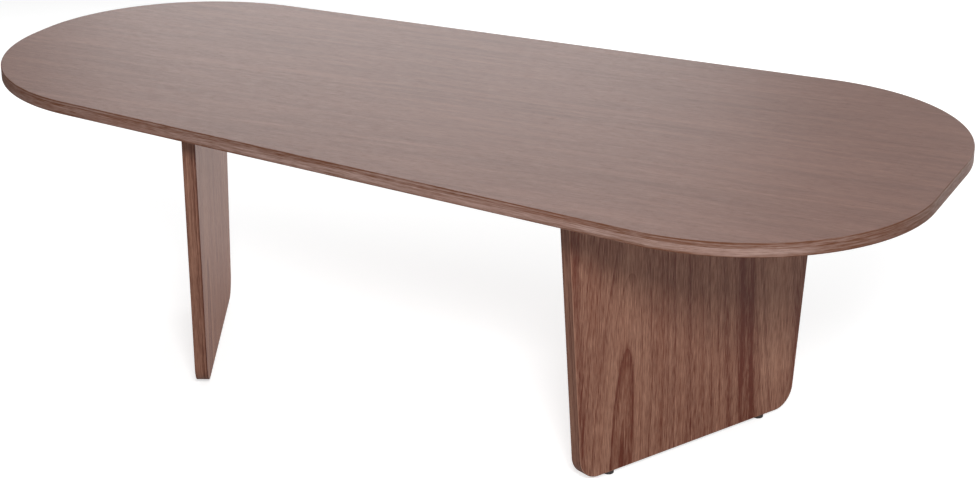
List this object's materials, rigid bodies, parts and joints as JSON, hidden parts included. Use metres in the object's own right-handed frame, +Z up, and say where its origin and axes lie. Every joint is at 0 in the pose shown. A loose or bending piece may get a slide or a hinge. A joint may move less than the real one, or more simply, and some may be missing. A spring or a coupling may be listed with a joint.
{
  "type": "coffee table",
  "caption": "Low walnut-veneered coffee table: wedge-plan slab top with large round corners on tapered panel legs that stand in a V.",
  "frame": {"origin": "on the floor, under the middle of the top's bounding box", "axes": "+X along the length to the wide end, +Y to the straight back edge, +Z up"},
  "size_m": [1.4, 0.67, 0.42],
  "materials": {
    "walnut_top": "walnut veneer under satin lacquer",
    "walnut_edge": "walnut edge band under satin lacquer",
    "walnut_leg": "walnut veneer, upright grain, under satin lacquer",
    "fibreboard": "raw medium density fibreboard",
    "zinc_steel": "zinc plated steel",
    "brass": "machined brass",
    "black_plastic": "matte black moulded plastic"
  },
  "bodies": {
    "root": {"top_core": "fibreboard", "top_veneer": "walnut_top", "underside_veneer": "walnut_top", "top_edge_band": "walnut_edge", "wide_leg_core": "fibreboard", "wide_leg_outer_veneer": "walnut_leg", "wide_leg_inner_veneer": "walnut_leg", "wide_leg_edge_band": "walnut_edge", "wide_leg_plate": "zinc_steel", "wide_leg_screws": "zinc_steel", "wide_leg_bolts": "zinc_steel", "wide_leg_inserts": "brass", "wide_leg_front_glide": "black_plastic", "wide_leg_back_glide": "black_plastic", "narrow_leg_core": "fibreboard", "narrow_leg_outer_veneer": "walnut_leg", "narrow_leg_inner_veneer": "walnut_leg", "narrow_leg_edge_band": "walnut_edge", "narrow_leg_plate": "zinc_steel", "narrow_leg_screws": "zinc_steel", "narrow_leg_bolts": "zinc_steel", "narrow_leg_inserts": "brass", "narrow_leg_front_glide": "black_plastic", "narrow_leg_back_glide": "black_plastic", "glide_screws": "zinc_steel"}
  },
  "joints": []
}
